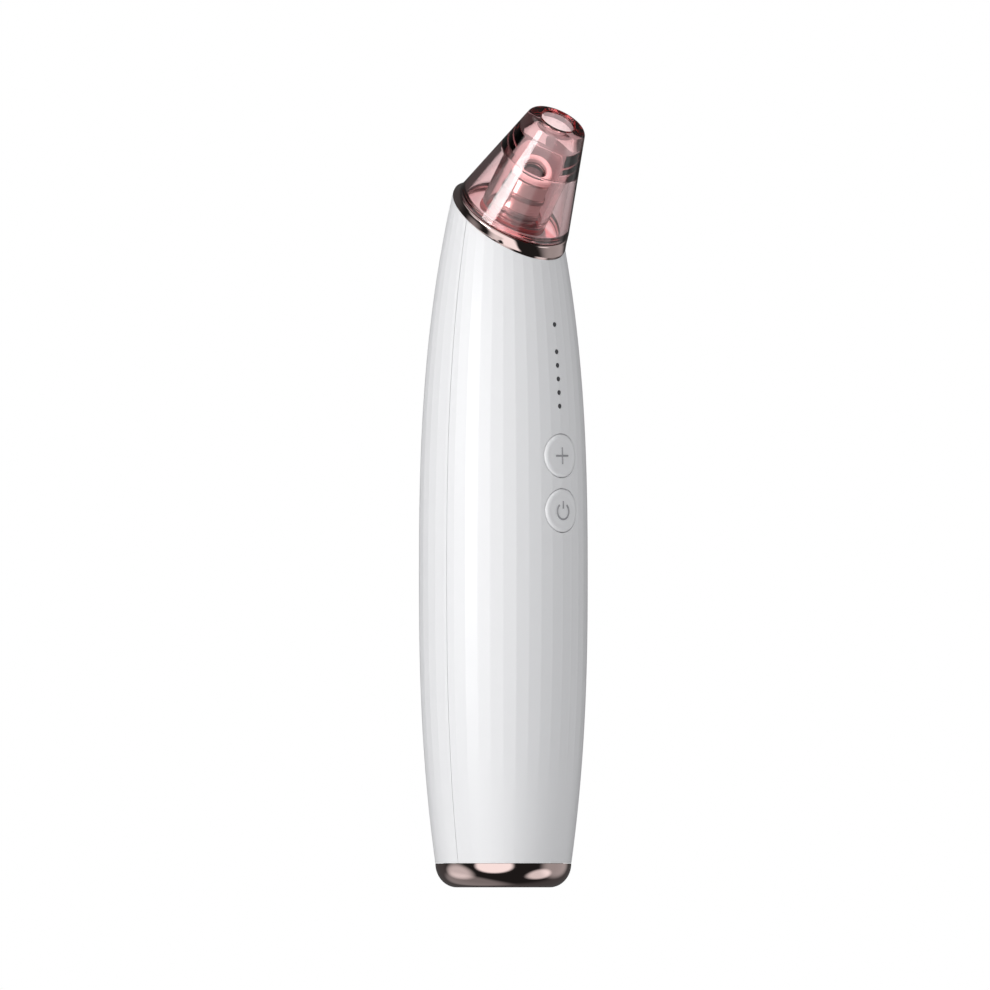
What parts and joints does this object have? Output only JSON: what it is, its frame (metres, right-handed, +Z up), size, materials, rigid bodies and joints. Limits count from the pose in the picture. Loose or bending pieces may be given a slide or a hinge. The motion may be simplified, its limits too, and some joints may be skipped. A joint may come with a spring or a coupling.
{
  "type": "blackhead vacuum extractor",
  "caption": "Handheld pore vacuum: faceted barrel wand with two buttons, a tilted metal collar and a clear red suction head.",
  "frame": {"origin": "centre of the flat underside of the base cap, where the wand stands", "axes": "+Z up the barrel; -Y to the front, the side with the buttons and lamps that the head leans over; +X to the right of someone who faces the front"},
  "size_m": [0.0422, 0.0462, 0.1951],
  "materials": {
    "white_abs": "satin gloss",
    "gunmetal_plate": "rose gunmetal mirror plating",
    "clear_red": "clear tinted",
    "silicone_red": "satin",
    "silicone_white": "satin",
    "sponge_grey": "open-cell foam",
    "smoke_lens": "satin",
    "black_abs": "moulded",
    "board_green": "solder mask",
    "steel": "zinc plated",
    "copper": "enamelled windings",
    "magnet_grey": "sintered",
    "rubber_black": "matte",
    "nylon_natural": "natural",
    "cell_wrap": "blue shrink wrap",
    "hose_clear": "translucent",
    "wire_red": "satin",
    "wire_black": "satin"
  },
  "bodies": {
    "wand": {"base_cap": "gunmetal_plate", "battery_cell": "cell_wrap", "board_screw_1": "steel", "board_screw_2": "steel", "cell_lead_black": "wire_black", "cell_lead_red": "wire_red", "charge_board": "board_green", "charge_lead_black": "wire_black", "charge_lead_red": "wire_red", "charge_screw_1": "steel", "charge_screw_2": "steel", "chassis": "black_abs", "chassis_screw_1": "steel", "chassis_screw_2": "steel", "chassis_screw_3": "steel", "collar_ring": "gunmetal_plate", "deck_plate": "white_abs", "diaphragm": "rubber_black", "filter_ring": "silicone_white", "filter_sponge": "sponge_grey", "front_shell": "white_abs", "head_seal": "silicone_red", "led_1": "nylon_natural", "led_2": "nylon_natural", "led_3": "nylon_natural", "led_4": "nylon_natural", "led_5": "nylon_natural", "led_6": "nylon_natural", "light_pipe": "smoke_lens", "magnet_left": "magnet_grey", "magnet_right": "magnet_grey", "main_board": "board_green", "motor_can": "steel", "motor_end_bell": "black_abs", "motor_lead_black": "wire_black", "motor_lead_red": "wire_red", "nozzle_post": "gunmetal_plate", "pump_cover": "nylon_natural", "pump_frame": "nylon_natural", "pump_screw_1": "steel", "pump_screw_2": "steel", "pump_screw_3": "steel", "pump_sleeve": "rubber_black", "rear_shell": "white_abs", "suction_hose": "hose_clear", "switch_mode": "black_abs", "switch_power": "black_abs", "umbrella_valve": "rubber_black", "usb_socket": "steel", "valve_plate": "nylon_natural"},
    "suction_head": {"suction_head": "clear_red"},
    "mode_button": {"button_mode": "white_abs"},
    "power_button": {"button_power": "white_abs"},
    "mode_plunger": {"plunger_mode": "nylon_natural"},
    "power_plunger": {"plunger_power": "nylon_natural"},
    "rotor": {"armature": "copper", "motor_shaft": "steel", "crank": "nylon_natural", "crank_pin": "steel"},
    "wobble_plate": {"wobble_plate": "nylon_natural"}
  },
  "joints": [
    {"name": "head_pull_off", "type": "slide", "parent": "wand", "child": "suction_head", "axis": [0, -0.5635, 0.8261], "range_m": [0, 0.02]},
    {"name": "mode_button_press", "type": "slide", "parent": "wand", "child": "mode_button", "axis": [0, 1, 0], "range_m": [0, 0.0004], "stiffness_N_per_m": 400},
    {"name": "power_button_press", "type": "slide", "parent": "wand", "child": "power_button", "axis": [0, 1, 0], "range_m": [0, 0.0004], "stiffness_N_per_m": 400},
    {"name": "mode_switch_travel", "type": "slide", "parent": "wand", "child": "mode_plunger", "axis": [0, 1, 0], "range_m": [0, 0.0004]},
    {"name": "power_switch_travel", "type": "slide", "parent": "wand", "child": "power_plunger", "axis": [0, 1, 0], "range_m": [0, 0.0004]},
    {"name": "motor_spin", "type": "hinge", "parent": "wand", "child": "rotor", "pos_m": [0, 0.002, 0.1], "axis": [0, 0, 1], "continuous": true},
    {"name": "wobble_roll", "type": "hinge", "parent": "rotor", "child": "wobble_plate", "pos_m": [0, 0.002, 0.1303], "axis": [0, -0.1219, 0.9925], "continuous": true}
  ],
  "couplings": [
    {"joint": "mode_switch_travel", "follows": "mode_button_press", "ratio": 1},
    {"joint": "power_switch_travel", "follows": "power_button_press", "ratio": 1},
    {"joint": "wobble_roll", "follows": "motor_spin", "ratio": -1}
  ]
}
